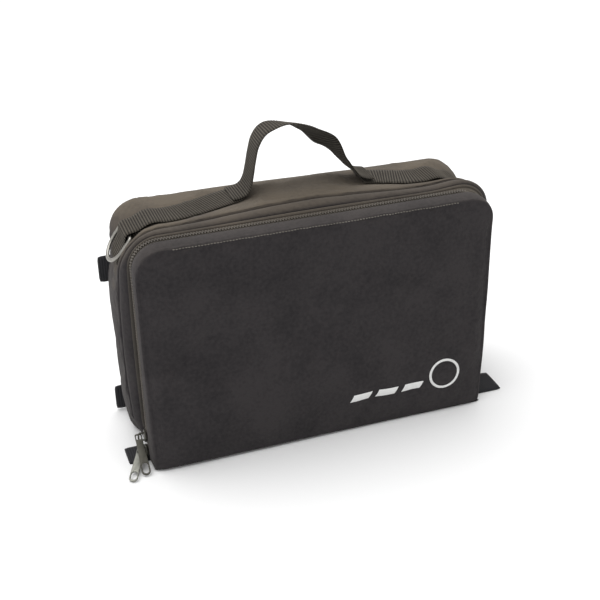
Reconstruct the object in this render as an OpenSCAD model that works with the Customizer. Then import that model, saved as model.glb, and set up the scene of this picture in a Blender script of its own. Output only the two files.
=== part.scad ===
// Soft-sided flight bag: a padded box of nylon with a front lid that folds down about its
// bottom edge, a two-slider coil zipper round the other three edges, and a webbing handle.
// Origin: centre of the flat base. +X to the right, +Y to the rear, +Z up. Millimetres.

/* [Body] */
// Width of the main body, outside the fabric
body_w = 388; // [340:1:430]
// Depth of the closed bag, front face to rear face
bag_d = 140; // [110:1:180]
// Height of the body, floor to top fabric
bag_h = 254; // [220:1:300]
// Radius of the body's two top corners
body_top_r = 54; // [30:1:60]
// Radius of the body's two bottom corners
body_bottom_r = 10; // [10:1:14]
// Depth of the rear part of the body, behind the groove seam
body_d = 91; // [70:1:100]

/* [Lid] */
// Width of the front lid and of the zipper band
lid_w = 380; // [330:1:388]
// Radius of the lid's top corners
lid_top_r = 28; // [20:1:40]
// Radius of the lid's bottom corners
lid_bottom_r = 8; // [8:1:12]
// Depth of the lid's rolled edge
lid_edge_d = 19; // [14:1:24]
// Gap between the lid's lower edge and the strip that it folds over
lid_gap = 0.3; // [0.3:0.1:1]

/* [Layers] */
// Thickness of the coated nylon outer fabric
fabric_t = 1.5; // [1:0.1:2]
// Thickness of the foam sheet
foam_t = 5; // [3:0.5:8]
// Thickness of the lining cloth
lining_t = 0.8; // [0.5:0.1:1.2]
// Thickness of the stiff board in the floor
board_t = 2.5; // [1.5:0.5:4]

/* [Zipper] */
// Width of the tape that shows behind the teeth
tape_w = 10; // [6:1:12]
// Thickness of the tape
tape_t = 1; // [0.6:0.1:1.2]
// Width of each half of the coil
coil_w = 3.3; // [2.5:0.1:4]
// Height of the coil above the tape
coil_h = 2; // [1.5:0.1:2.5]
// Height of the upper slider's middle above the floor
upper_slider_z = 28.5; // [28.5:0.5:40]
// Height of the lower slider's middle above the floor
lower_slider_z = 9.8; // [9.8:0.1:10]
// Length of a pull from its hinge to its tip
pull_len = 42; // [36:1:42]
// Width of a pull
pull_w = 9.4; // [8:0.2:10]
// Angle of the upper pull from straight down, where its tip meets the floor
upper_pull_lean = 50.5; // [50.5:0.5:70]
// Angle of the lower pull from straight down
lower_pull_lean = 79; // [79:1:84]
// Angle that the lower pull points outward
lower_pull_yaw = 23.5; // [23.5:0.5:30]

/* [Webbing] */
// Width of the strap and handle webbing
web_w = 38; // [32:1:40]
// Thickness of the strap webbing
web_t = 1.6; // [1.4:0.1:2.4]
// Left foot of the handle, measured from the middle of the bag
handle_left_x = -56.5; // [-70:0.5:-50]
// Right foot of the handle
handle_right_x = 70; // [50:0.5:80]
// Height of the handle above the top of the bag
handle_h = 77; // [60:1:90]
// Largest tilt of the handle to the front or the rear
handle_tilt = 60; // [30:5:60]
// Distance of the handle's middle line behind the middle of the bag
strap_y = 24; // [10:1:30]

/* [Rings and tabs] */
// Distance of the shoulder rings' middle behind the middle of the bag
ring_y = 10; // [5:1:20]
// Half of the ring's width, to the middle of its wire
ring_half_w = 21; // [19:0.5:22]
// Radius of the ring's wire
ring_wire_r = 2.1; // [1.8:0.1:2.5]
// Length of the ring's straight arms
ring_arm = 13; // [8:1:16]
// Thickness of a folded tab
tab_t = 4; // [3:0.5:5]
// Thickness of a zipper tab, which lies on the floor
floor_tab_t = 2; // [1.5:0.5:2]

/* [Hidden] */
$fn = 48;

y_front = -bag_d / 2;
y_rear = bag_d / 2;
y_seam = y_rear - body_d;
y_lid_back = y_front + lid_edge_d;
chain_gap = 0.4;
y_chain = y_lid_back + 5;
y_tape_end = y_chain + tape_w;
lid_h = bag_h - 1;
plate_t = 2;
lid_z = plate_t + lid_gap;
lining_in = fabric_t + foam_t;
room_in = lining_in + lining_t;
tape_under = 2;
binding_t = 2;
coil_x = lid_w / 2 - fabric_t + coil_h;
slider_gap = 0.4;
slider_t = 1.7;
slider_w = 12;
slider_len = 15;
bail_h = 6.2;
bail_half = 4.5;
bail_r = 0.9;
bail_x = coil_x + slider_gap + slider_t + bail_h;
pull_t = 1.8;
fold_gap = 0.3;
fold_w = 2 * (ring_half_w - ring_wire_r) - 1.8;
fold_r = ring_wire_r + fold_gap + web_t;
ring_lean = 43;
corner_x = body_w / 2 - body_top_r;
corner_z = bag_h - body_top_r;
ring_x = corner_x + (body_top_r + fold_r) * sin(45);
ring_z = corner_z + (body_top_r + fold_r) * cos(45);
handle_z = bag_h + 3.5;
nylon = [0.13, 0.125, 0.12];
webbing = [0.2, 0.19, 0.17];
dark_webbing = [0.07, 0.07, 0.08];
lining_colour = [0.1, 0.1, 0.11];
foam_colour = [0.3, 0.3, 0.31];
metal = [0.6, 0.59, 0.56];

// ---- shared shapes -------------------------------------------------------------------------

// Front outline of the bag, standing on z = 0, with its edge moved in by inset
module outline(w, h, top_r, bottom_r, inset = 0) {
  half = w / 2 - inset;
  rt = max(top_r - inset, 1);
  rb = max(bottom_r - inset, 1);
  low = inset;
  high = h - inset;
  side = max(rt, rb);
  translate([-half, low + rb]) square([2 * half, high - rt - low - rb]);
  translate([-half + side, low]) square([2 * (half - side), high - low]);
  translate([-half + rt, high - rt]) square([2 * (half - rt), rt]);
  translate([-half + rb, low]) square([2 * (half - rb), rb]);
  for (s = [-1, 1]) {
    translate([s * (half - rt), high - rt]) circle(rt);
    translate([s * (half - rb), low + rb]) circle(rb);
  }
}

module body_outline(inset = 0) outline(body_w, bag_h, body_top_r, body_bottom_r, inset);

module lid_outline(inset = 0) outline(lid_w, lid_h, lid_top_r, lid_bottom_r, inset);

// Lifts the children's lower edge to z, so that a ring becomes an upside-down U
module above(z) {
  intersection() {
    children();
    translate([-body_w, z]) square([2 * body_w, bag_h]);
  }
}

// Extrudes a front outline from depth y0 back to depth y1
module slab(y0, y1) {
  translate([0, y1, 0]) rotate([90, 0, 0]) linear_extrude(y1 - y0) children();
}

module body_band(inset, t) {
  difference() {
    body_outline(inset);
    body_outline(inset + t);
  }
}

module lid_band(inset, t) {
  difference() {
    lid_outline(inset);
    lid_outline(inset + t);
  }
}

// A block given by its two opposite corners
module block(low, high) {
  translate(low) cube(high - low);
}

// ---- body ----------------------------------------------------------------------------------

module main_gusset() color(nylon) {
  slab(y_seam + fabric_t, y_rear - fabric_t) body_band(0, fabric_t);
  // the seam allowance that turns in behind the groove
  slab(y_seam, y_seam + fabric_t) difference() {
    union() {
      body_outline();
      above(plate_t) lid_outline();
    }
    body_outline(room_in + fabric_t);
  }
}

module gusset_foam() color(foam_colour)
  slab(y_seam + fabric_t, y_rear - lining_in) body_band(fabric_t, foam_t);

module gusset_lining() color(lining_colour)
  slab(y_seam + fabric_t, y_rear - room_in) body_band(lining_in, lining_t);

module rear_panel() color(nylon)
  slab(y_rear - fabric_t, y_rear) body_outline();

module rear_foam() color(foam_colour)
  slab(y_rear - lining_in, y_rear - fabric_t) body_outline(fabric_t);

module rear_lining() color(lining_colour)
  slab(y_rear - room_in, y_rear - lining_in) body_outline(lining_in);

module seam_binding_front() color(dark_webbing)
  slab(y_seam + fabric_t, y_seam + fabric_t + 10) body_band(room_in, binding_t);

module seam_binding_rear() color(dark_webbing)
  slab(y_rear - room_in - 10, y_rear - room_in) body_band(room_in, binding_t);

module base_board() color(lining_colour) {
  inner = body_w / 2 - room_in - body_bottom_r;
  block([-inner, y_seam + 14, room_in], [inner, y_rear - room_in - 11, room_in + board_t]);
}

module zipper_gusset() color(nylon)
  slab(y_tape_end, y_seam) above(plate_t) lid_band(0, fabric_t);

// The strip under the lid that the lid's lower edge is sewn to
module hinge_gusset() color(nylon) {
  half = lid_w / 2 - 12;
  block([-half, y_front + 0.5, 0], [half, y_seam, plate_t]);
}

module zipper_tape_rear() color(dark_webbing)
  slab(y_chain + chain_gap / 2, y_tape_end + tape_under) above(plate_t) lid_band(fabric_t, tape_t);

module zipper_coil_rear() color(dark_webbing)
  slab(y_chain + chain_gap / 2, y_chain + chain_gap / 2 + coil_w)
    above(plate_t) lid_band(fabric_t - coil_h, coil_h);

// ---- straps, rings and tabs ----------------------------------------------------------------

// The right strap: flat on the top from the handle's foot, round the corner, and folded
// about the ring's bar. The left strap is its mirror image from its own foot.
module strap(foot_x) {
  half = web_w / 2;
  translate([0, 0, bag_h]) linear_extrude(web_t) polygon([
    [foot_x, strap_y - half], [foot_x, strap_y + half],
    [corner_x, ring_y + fold_w / 2], [corner_x, ring_y - fold_w / 2]
  ]);
  intersection() {
    translate([corner_x, ring_y, corner_z]) rotate([90, 0, 0]) difference() {
      cylinder(h = fold_w, r = body_top_r + web_t, center = true, $fn = 160);
      cylinder(h = fold_w + 2, r = body_top_r, center = true, $fn = 160);
    }
    translate([corner_x, ring_y, corner_z]) rotate([90, 0, 0])
      linear_extrude(fold_w + 1, center = true)
        polygon([[0, 0], [0, 2 * body_top_r], [2 * body_top_r, 2 * body_top_r]]);
  }
  translate([ring_x, ring_y, ring_z]) rotate([90, 0, 0]) difference() {
    cylinder(h = fold_w, r = fold_r, center = true);
    cylinder(h = fold_w + 2, r = ring_wire_r + fold_gap, center = true);
  }
}

module strap_left() color(webbing) mirror([1, 0, 0]) strap(-handle_left_x + 0.5);

module strap_right() color(webbing) strap(handle_right_x + 0.5);

// A D ring that hangs from a bar along Y at the origin
module d_ring() {
  rotate([90, 0, 0]) cylinder(h = 2 * ring_half_w, r = ring_wire_r, center = true);
  for (s = [-1, 1]) translate([0, s * ring_half_w, 0]) {
    sphere(ring_wire_r);
    translate([0, 0, -ring_arm]) cylinder(h = ring_arm, r = ring_wire_r);
  }
  translate([0, 0, -ring_arm]) rotate([0, 90, 0]) rotate([0, 0, -90])
    rotate_extrude(angle = 180) translate([ring_half_w, 0]) circle(ring_wire_r);
}

module right_d_ring() color(metal)
  translate([ring_x, ring_y, ring_z]) rotate([0, -ring_lean, 0]) d_ring();

module left_d_ring() color(metal)
  translate([-ring_x, ring_y, ring_z]) rotate([0, ring_lean, 0]) d_ring();

// A folded webbing tab that stands out of a side at the rear seam. side is -1 or 1.
module rear_tab(side, z0, z1, reach) {
  near = body_w / 2;
  low = side < 0 ? -near - reach : near;
  block([low, y_rear - fabric_t - tab_t, z0], [low + reach, y_rear - fabric_t, z1]);
}

module rear_tab_upper_left() color(dark_webbing) rear_tab(-1, 160, 190, 12);
module rear_tab_lower_left() color(dark_webbing) rear_tab(-1, 4, 29, 9);
module rear_tab_upper_right() color(dark_webbing) rear_tab(1, 160, 190, 12);
module rear_tab_lower_right() color(dark_webbing) rear_tab(1, 4, 29, 9);

// A webbing tab that lies on the floor at an end of the zipper
module floor_tab(side, reach, y0, y1) {
  near = lid_w / 2 - 12;
  low = side < 0 ? -near - reach : near;
  block([low, y0, 0], [low + reach, y1, floor_tab_t]);
}

module zipper_tab_left() color(dark_webbing) floor_tab(-1, 32, -52, y_seam - 0.5);
module zipper_tab_right() color(dark_webbing) floor_tab(1, 44, -60, y_seam - 0.5);

// ---- lid -----------------------------------------------------------------------------------

module lid_panel() color(nylon) {
  slab(y_front, y_front + fabric_t) above(lid_z) lid_outline();
  slab(y_front + fabric_t, y_lid_back) above(lid_z) lid_band(0, fabric_t);
}

module lid_foam() color(foam_colour)
  slab(y_front + fabric_t, y_front + lining_in) above(lid_z) lid_outline(fabric_t);

module lid_lining() color(lining_colour)
  slab(y_front + lining_in, y_front + room_in) above(lid_z) lid_outline(fabric_t);

module lid_binding() color(dark_webbing)
  slab(y_front + room_in, y_front + room_in + 3) above(lid_z) lid_band(fabric_t, binding_t);

module lid_pocket() color(lining_colour) {
  y = y_front + room_in;
  block([-150, y, 22], [150, y + lining_t, 146]);
}

module lid_pocket_hem() color(dark_webbing) {
  y = y_front + room_in;
  block([-150, y, 146], [150, y + 1.4, 156]);
}

// A plain mark: three slanted bars beside a ring
module lid_emblem() color("white") {
  translate([0, y_front, 0]) rotate([90, 0, 0]) linear_extrude(0.4) {
    for (i = [0 : 2]) translate([28 + 30 * i, 36])
      polygon([[0, 0], [22, 0], [27, 8], [5, 8]]);
    translate([140, 50]) difference() {
      circle(18);
      circle(15.5);
    }
  }
}

module zipper_tape_front() color(dark_webbing)
  slab(y_lid_back - tape_under, y_chain - chain_gap / 2) above(lid_z) lid_band(fabric_t, tape_t);

module zipper_coil_front() color(dark_webbing)
  slab(y_chain - chain_gap / 2 - coil_w, y_chain - chain_gap / 2)
    above(lid_z) lid_band(fabric_t - coil_h, coil_h);

// ---- zipper sliders and pulls --------------------------------------------------------------

// A slider on the left side, centred at height z: its face, its rear lip and its bail
module slider(z) {
  face_x = -coil_x - slider_gap;
  narrow = slider_w - 4;
  translate([face_x, y_chain, z]) rotate([0, -90, 0]) linear_extrude(slider_t) {
    translate([-slider_len / 2 + 3, -slider_w / 2]) square([slider_len - 6, slider_w]);
    translate([-slider_len / 2, -narrow / 2]) square([slider_len, narrow]);
    for (a = [-1, 1], b = [-1, 1])
      translate([a * (slider_len / 2 - 3), b * narrow / 2]) circle(2);
  }
  lip_y = y_chain + chain_gap / 2 + coil_w + slider_gap;
  block([face_x, lip_y, z - slider_len / 2 + 3], [face_x + 1.6, lip_y + 1, z + slider_len / 2 - 3]);
  for (s = [-1, 1]) translate([-bail_x, y_chain, z + s * bail_half]) {
    rotate([0, 90, 0]) cylinder(h = bail_h, r = bail_r);
    sphere(bail_r);
  }
  translate([-bail_x, y_chain, z - bail_half]) cylinder(h = 2 * bail_half, r = bail_r);
}

module upper_slider() color(metal) slider(upper_slider_z);
module lower_slider() color(metal) slider(lower_slider_z);

// A pull that hangs down from its hinge at the origin, its face to the front
module pull() {
  eye_top = 3.9;
  end_hole_z = -pull_len + 7.5;
  end_r = pull_w / 2;
  translate([0, pull_t / 2, 0]) rotate([90, 0, 0]) linear_extrude(pull_t) difference() {
    union() {
      translate([-pull_w / 2 + 1, -pull_len + end_r]) square([pull_w - 2, pull_len]);
      translate([-pull_w / 2, -pull_len + end_r]) square([pull_w, 14]);
      translate([0, -pull_len + end_r]) circle(end_r);
      translate([-pull_w / 2 + 0.6, -5]) square([pull_w - 1.2, 5 + eye_top]);
    }
    translate([-2.9, -2.3]) square([5.8, 4.6]);
    translate([-3.2, end_hole_z - 2]) square([6.4, 5]);
    translate([0, end_hole_z - 2]) circle(3.2);
    translate([0, end_hole_z + 3]) circle(3.2);
  }
}

module upper_pull() color(metal)
  translate([-bail_x, y_chain, upper_slider_z]) rotate([-upper_pull_lean, 0, 0]) pull();

module lower_pull() color(metal)
  translate([-bail_x, y_chain, lower_slider_z])
    rotate([0, 0, -lower_pull_yaw]) rotate([-lower_pull_lean, 0, 0]) pull();

// ---- handle --------------------------------------------------------------------------------

// Points of an upright arch, half_w to each side of its middle and h high
function arch(half_w, h, steps) =
  [for (i = [0 : steps]) let (a = 180 * i / steps) [half_w * cos(a), h * sin(a)]];

module handle() color(webbing) {
  mid_x = (handle_left_x + handle_right_x) / 2;
  half = (handle_right_x - handle_left_x) / 2;
  t = 2.2;
  steps = 40;
  foot_z = handle_z - 1.3;
  foot = 1.5;
  taper = 90 - handle_tilt - 2;
  taper_h = (web_w / 2 - foot) / tan(taper);
  top = handle_h + 10;
  intersection() {
    translate([mid_x, strap_y + web_w / 2, foot_z]) rotate([90, 0, 0]) linear_extrude(web_w)
      difference() {
        polygon(arch(half, handle_h - 2.2, steps));
        polygon(arch(half - t, handle_h - 2.2 - t, steps));
      }
    // the feet narrow to their fold lines, so that the arch can tilt both ways
    translate([handle_left_x - 1, strap_y, foot_z]) rotate([90, 0, 90])
      linear_extrude(2 * half + 2) polygon([
        [-foot, 0], [foot, 0], [web_w / 2, taper_h], [web_w / 2, top],
        [-web_w / 2, top], [-web_w / 2, taper_h]
      ]);
  }
}

main_gusset();
gusset_foam();
gusset_lining();
rear_panel();
rear_foam();
rear_lining();
zipper_gusset();
hinge_gusset();
base_board();
seam_binding_front();
seam_binding_rear();
zipper_tape_rear();
zipper_coil_rear();
strap_left();
strap_right();
rear_tab_upper_left();
rear_tab_lower_left();
rear_tab_upper_right();
rear_tab_lower_right();
zipper_tab_left();
zipper_tab_right();
lid_panel();
lid_foam();
lid_lining();
lid_binding();
lid_pocket();
lid_pocket_hem();
lid_emblem();
zipper_tape_front();
zipper_coil_front();
upper_slider();
upper_pull();
lower_slider();
lower_pull();
left_d_ring();
right_d_ring();
handle();
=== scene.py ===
"""A padded nylon flight bag with a fold-down front lid, a two-slider zipper and a webbing handle.

Lengths are in millimetres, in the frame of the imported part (X right, Y rear, Z up), and become
metres when a mesh is made.
"""

import math

import bmesh
import bpy
import numpy as np
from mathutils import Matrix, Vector, noise
from mathutils.bvhtree import BVHTree


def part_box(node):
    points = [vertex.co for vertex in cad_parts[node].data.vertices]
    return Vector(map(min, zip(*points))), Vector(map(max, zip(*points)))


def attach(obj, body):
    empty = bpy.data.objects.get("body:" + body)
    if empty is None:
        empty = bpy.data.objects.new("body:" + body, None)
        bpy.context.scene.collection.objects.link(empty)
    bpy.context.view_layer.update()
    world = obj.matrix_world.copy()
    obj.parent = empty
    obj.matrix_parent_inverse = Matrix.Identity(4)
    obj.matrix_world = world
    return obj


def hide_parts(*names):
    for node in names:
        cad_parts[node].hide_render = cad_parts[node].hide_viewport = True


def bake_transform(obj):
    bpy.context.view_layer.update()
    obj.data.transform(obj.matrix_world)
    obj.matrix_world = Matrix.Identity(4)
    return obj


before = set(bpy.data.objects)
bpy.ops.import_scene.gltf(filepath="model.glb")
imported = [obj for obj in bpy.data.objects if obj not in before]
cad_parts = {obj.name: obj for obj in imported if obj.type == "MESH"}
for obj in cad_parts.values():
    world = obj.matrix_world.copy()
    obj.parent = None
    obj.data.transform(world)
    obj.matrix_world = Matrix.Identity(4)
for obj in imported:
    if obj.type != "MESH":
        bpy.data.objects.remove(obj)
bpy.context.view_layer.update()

MM = 0.001

# ---- driving dimensions ----
FRONT_Y = -70.0
LID_EDGE_Y = -51.0  # back of the lid's rolled edge
CHAIN_Y = -46.0  # where the two rows of teeth meet
SEAM_Y = -21.0  # groove between the zipper gusset and the main body
REAR_Y = 70.0
LID_HALF = 190.0
BODY_HALF = 194.0
LID_TOP = 253.0
BODY_TOP = 254.0
LID_LOW = 2.3  # bottom of the lid
FABRIC_T = 1.5
LINING_T = 0.7

# webbing of the straps and the handle
STRAP_Y = 24.0
WEB_T = 1.6
WEB_W = 38.0
STRAP_PRESS = 1.7  # depth of the hollow that a strap presses into the body
RIB_PITCH = 2.8
RIB_HEIGHT = 0.42

# the rings hang on the body's round top corners
CORNER_R = 54.0
CORNER_X = BODY_HALF - CORNER_R
CORNER_Z = BODY_TOP - CORNER_R
RING_Y = 10.0
RING_WIRE_R = 2.1
RING_HALF = 21.0
RING_ARM = 13.0
RING_LEAN = math.radians(38)
FOLD_R = RING_WIRE_R + 0.3 + WEB_T
RING_X = CORNER_X + (CORNER_R + FOLD_R) * math.sin(math.radians(45))
RING_Z = CORNER_Z + (CORNER_R + FOLD_R) * math.cos(math.radians(45))

# the zipper: pitch of the coil's turns, and the places of the sliders, their plates and their bails
TOOTH_PITCH = 3.0
UPPER_SLIDER_Z = 28.5
LOWER_SLIDER_Z = 9.8
PLATE_X = 190.9
BAIL_X = 198.8

# points along the bottom or top, and along a side, of every outline
ALONG = 96
UP = 60

CLOTH_FRAMES = 16
# dust and painted top light come in paler patches of this size
DUST_AND_LIGHT_GRAIN = 45.0  # size of the paler patches
DUST_AND_LIGHT_SEED = 3

# (depth, half width, top, top corner radius, bottom corner radius), front to rear
STATIONS = (
    (FRONT_Y, LID_HALF, LID_TOP, 28.0, 4.0),
    (CHAIN_Y, LID_HALF, LID_TOP, 28.0, 8.0),
    (-35.0, 191.0, 253.4, 33.0, 9.0),
    (SEAM_Y, BODY_HALF, BODY_TOP, 44.0, 10.0),
    (RING_Y, BODY_HALF, BODY_TOP, CORNER_R, 10.0),
    (66.0, BODY_HALF, BODY_TOP, 30.0, 10.0),
    (REAR_Y, BODY_HALF, BODY_TOP, 30.0, 10.0),
)


# ---- small maths ----
def ramp(value, start, end):
    """0 before start, 1 after end, and smooth between them."""
    t = np.clip((np.asarray(value, float) - start) / (end - start), 0.0, 1.0)
    return t * t * (3.0 - 2.0 * t)


def knots(value, xs, ys):
    """Smooth steps through the points (xs, ys)."""
    value = np.asarray(value, float)
    result = np.full(value.shape, float(ys[0]))
    for a, b, low, high in zip(xs, xs[1:], ys, ys[1:]):
        result = result + (high - low) * ramp(value, a, b)
    return result


def cloudy(points, size, seed, octaves=2):
    """Smooth noise from about -1 to 1, with lumps of the given size in millimetres."""
    shift = Vector((seed * 7.3, seed * 3.1, seed * 5.7))
    return np.array([noise.fractal(Vector(p) / size + shift, 1.0, 2.0, octaves) for p in points])


def xyz(x, y, z):
    """Points from three columns, where a column may be one number."""
    return np.column_stack(np.broadcast_arrays(x, y, z))


def unit(rows):
    """Each row at a length of one."""
    return rows / np.linalg.norm(rows, axis=1)[:, None]


def lengths_along(line):
    """How far along a polyline each of its points is."""
    steps = np.linalg.norm(np.diff(line, axis=0), axis=1)
    return np.concatenate([[0.0], np.cumsum(steps)])


def resampled(line, count):
    """The polyline as count equal steps."""
    along = lengths_along(line)
    at = np.linspace(0.0, along[-1], count + 1)
    return np.column_stack([np.interp(at, along, column) for column in line.T])


def arc(cx, cz, r, start, end, steps=14):
    """Points on an arc between two angles in degrees."""
    a = np.radians(np.linspace(start, end, steps + 1))
    return np.column_stack([cx + r * np.cos(a), cz + r * np.sin(a)])


def outline(half, low, high, top_r, low_r):
    """A rounded rectangle seen from the front, as bottom, right, top and left runs.

    Each run goes from the middle of one corner to the middle of the next, in equal steps.
    """
    # centre, radius and the angle of the middle of each corner
    corners = (
        (-half + low_r, low + low_r, low_r, 225),
        (half - low_r, low + low_r, low_r, 315),
        (half - top_r, high - top_r, top_r, 45),
        (-half + top_r, high - top_r, top_r, 135),
    )
    runs = []
    for i, steps in enumerate((ALONG, UP, ALONG, UP)):
        (ax, az, ar, a), (bx, bz, br, b) = corners[i], corners[(i + 1) % 4]
        run = np.vstack([arc(ax, az, ar, a, a + 45), arc(bx, bz, br, b - 45, b)])
        runs.append(resampled(run, steps)[:-1])
    return np.vstack(runs)


def station(y):
    """Half width, top and corner radii of the bag's outline at a depth."""
    ys = [s[0] for s in STATIONS]
    return [float(knots(y, ys, [s[i] for s in STATIONS])) for i in range(1, 5)]


def ring(y, inset, low=0.0):
    """The bag's outline at depth y, moved in by inset."""
    half, high, top_r, low_r = station(y)
    radii = max(top_r - inset, 1.0), max(low_r - inset, 1.0)
    x, z = outline(half - inset, low + max(inset, 0.0), high - inset, *radii).T
    return xyz(x, y, z)


def without_bottom(points):
    """The right, top and left runs of a ring, as an open line."""
    return np.vstack([points[ALONG:], points[:1]])


def coons(edge):
    """A grid of points that fills a closed ring, from the ring's own points."""
    bottom = edge[: ALONG + 1]
    right = edge[ALONG : ALONG + UP + 1]
    top = edge[ALONG + UP : 2 * ALONG + UP + 1][::-1]
    left = np.vstack([edge[2 * ALONG + UP :], edge[:1]])[::-1]
    u = np.linspace(0, 1, ALONG + 1)[None, :, None]
    v = np.linspace(0, 1, UP + 1)[:, None, None]
    across = (1 - v) * bottom[None] + v * top[None]
    upward = (1 - u) * left[:, None] + u * right[:, None]
    corners = (
        (1 - u) * (1 - v) * bottom[0]
        + u * (1 - v) * bottom[-1]
        + (1 - u) * v * top[0]
        + u * v * top[-1]
    )
    return across + upward - corners


def lid_lean(x, z):
    """How far the lid and its edge lean to the right, more towards the top."""
    return ramp(x, 120.0, 186.0) * knots(z, (0, 90, 150, 254), (-2.0, 1.6, 3.2, 4.2))


def settle(points):
    """The soft shape of the filled bag: full sides, a crowned top, and slack at the corners."""
    p = np.array(points, float)
    x, y, z = p.T
    # the sides swell outward, each side in its own way at the rear, but not under the straps
    rearward = ramp(y, -5.0, 62.0)
    middle = np.sin(math.pi * np.clip((z - 4.0) / 246.0, 0.0, 1.0))
    heights = (0, 33, 159, 222, 254)
    left_rear = knots(z, heights, (-3.0, 1.0, 1.6, -3.8, -4.0))
    right_rear = knots(z, heights, (2.0, 6.0, 9.0, 8.0, 5.0))
    right_front = 3.0 * ramp(z, 60.0, 200.0) * (x > 0)
    side = (1 - rearward) * (6.0 * middle + right_front)
    side += rearward * np.where(x < 0, left_rear, right_rear)
    strapped = ramp(y, -20.0, -9.0) * ramp(y, 46.0, 32.0)
    strapped = strapped * ramp(z, 178.0, 204.0) * ramp(x, 90.0, 130.0)
    side = side * (1 - strapped)
    behind = ramp(y, CHAIN_Y, SEAM_Y)
    p[:, 0] += np.sign(x) * behind * side * ramp(np.abs(x), 60.0, 185.0)
    p[:, 0] += lid_lean(x, z)
    # the bottom left corner is drawn in
    tuck = 7.0 * ramp(z, 42.0, 10.0) * ramp(y, -44.0, -36.0) * ramp(y, 20.0, -10.0)
    p[:, 0] += tuck * ramp(x, -150.0, -186.0)
    # the top is crowned, and falls to the right at the rear
    crown = -3.0 + 7.0 * np.cos(np.clip(x, -150, 150) * math.pi / 300.0) ** 2
    rear_rise = 0.3 - 4.5 * ramp(x, -150.0, 150.0)
    crown = crown + (rear_rise - crown) * ramp(y, 26.0, 64.0)
    p[:, 2] += crown * ramp(z, 150.0, 248.0) * ramp(y, -44.0, -18.0)
    # the zipper gusset bulges at the top right corner
    full = 4.2 * ramp(x, 128.0, 182.0) * ramp(z, 188.0, 240.0)
    full = full * ramp(y, -50.0, -30.0) * ramp(y, -8.0, -18.0)
    p[:, 0] += full
    p[:, 2] += full
    return p


# ---- meshes ----
def add_object(name, data):
    thing = bpy.data.objects.new(name, data)
    bpy.context.scene.collection.objects.link(thing)
    return thing


def new_piece(name, points, faces, merge=True):
    """A smooth mesh object from points in millimetres. merge makes points in one place one."""
    mesh = bpy.data.meshes.new(name)
    mesh.from_pydata((np.asarray(points, float) * MM).tolist(), [], faces)
    mesh.update()
    piece = add_object(name, mesh)
    shape = bmesh.new()
    shape.from_mesh(mesh)
    if merge:
        bmesh.ops.remove_doubles(shape, verts=shape.verts, dist=0.01 * MM)
    bmesh.ops.recalc_face_normals(shape, faces=shape.faces)
    shape.to_mesh(mesh)
    shape.free()
    mesh.polygons.foreach_set("use_smooth", [True] * len(mesh.polygons))
    return piece


def grid_faces(rows, columns, start=0, wrap_rows=False, wrap_columns=False):
    """Four-sided faces over a grid of points that are stored row by row."""
    faces = []
    for i in range(rows if wrap_rows else rows - 1):
        for j in range(columns if wrap_columns else columns - 1):
            a, b = i * columns, ((i + 1) % rows) * columns
            k = (j + 1) % columns
            faces.append((start + a + j, start + b + j, start + b + k, start + a + k))
    return faces


def end_caps(rows, columns, start=0):
    """The first and last rows of a grid of points as two faces."""
    last = start + rows * columns - 1
    return [tuple(start + i for i in range(columns)), tuple(last - i for i in range(columns))]


def rim_of(rows, columns):
    """The points round the edge of a grid."""
    rim = list(range(columns)) + [i * columns + columns - 1 for i in range(1, rows)]
    rim += [(rows - 1) * columns + j for j in range(columns - 2, -1, -1)]
    return rim + [i * columns for i in range(rows - 2, 0, -1)]


def slab(front, back, rows, columns):
    """Points and faces of a solid between two grids of the same size."""
    count = len(front)
    rim = rim_of(rows, columns)
    faces = grid_faces(rows, columns) + [f[::-1] for f in grid_faces(rows, columns, count)]
    faces += [(a, b, b + count, a + count) for a, b in zip(rim, rim[1:] + rim[:1])]
    return np.vstack([front, back]), faces


def swept(rings, closed=True):
    """Points and faces of a solid whose closed profile runs round an outline.

    rings holds one outline per profile point. An open outline gets a cap at each end.
    """
    count = len(rings[0])
    points = np.vstack(rings)
    faces = grid_faces(len(rings), count, wrap_rows=True, wrap_columns=closed)
    if not closed:
        faces.append(tuple(i * count for i in range(len(rings))))
        faces.append(tuple(i * count + count - 1 for i in reversed(range(len(rings)))))
    return points, faces


def layer(path, thickness):
    """The closed profile of a sheet: a path of (depth, inset), and back along its inner side."""
    path = np.asarray(path, float)
    run = unit(np.gradient(path, axis=0))
    inner = path + thickness * np.column_stack([-run[:, 1], run[:, 0]])
    return np.vstack([path, inner[::-1]])


def curve_through(path, steps):
    """A smooth path through a few (depth, inset) points."""
    path = np.asarray(path, float)
    at = np.arange(len(path))
    fine = np.linspace(0, len(path) - 1, steps * (len(path) - 1) + 1)
    slopes = np.gradient(path, axis=0)
    i = np.clip(fine.astype(int), 0, len(path) - 2)
    t = (fine - at[i])[:, None]
    a, b, m, n = path[i], path[i + 1], slopes[i], slopes[i + 1]
    return (
        a * (2 * t**3 - 3 * t**2 + 1)
        + m * (t**3 - 2 * t**2 + t)
        + b * (3 * t**2 - 2 * t**3)
        + n * (t**3 - t**2)
    )


def outlines(path, closed=True, low=0.0):
    """The settled outline at each (depth, inset) of a path, without its bottom run if not closed."""
    rings = [ring(y, inset, low) for y, inset in path]
    return [settle(r if closed else without_bottom(r)) for r in rings]


def band(name, profile, closed=True, low=0.0, shape=None):
    """A piece whose closed profile of (depth, inset) points runs round the bag's outline."""
    points, faces = swept(outlines(profile, closed, low), closed)
    if shape is not None:
        points = shape(points)
    return new_piece(name, points, faces)


def outward_normals(piece):
    """Turns a band's faces so that they look away from the middle of the bag."""
    mesh = piece.data
    middle = Vector((0.0, 0.0, BODY_TOP / 2 * MM))
    total = 0.0
    for face in mesh.polygons:
        away = face.center - middle
        total += (away.x * face.normal.x + away.z * face.normal.z) * face.area
    if total < 0:
        mesh.flip_normals()
    return piece


def thicken(piece, thickness):
    """Gives a sheet its thickness, inwards."""
    thick = piece.modifiers.new("cloth thickness", "SOLIDIFY")
    thick.thickness = thickness * MM
    thick.offset = -1.0


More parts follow.
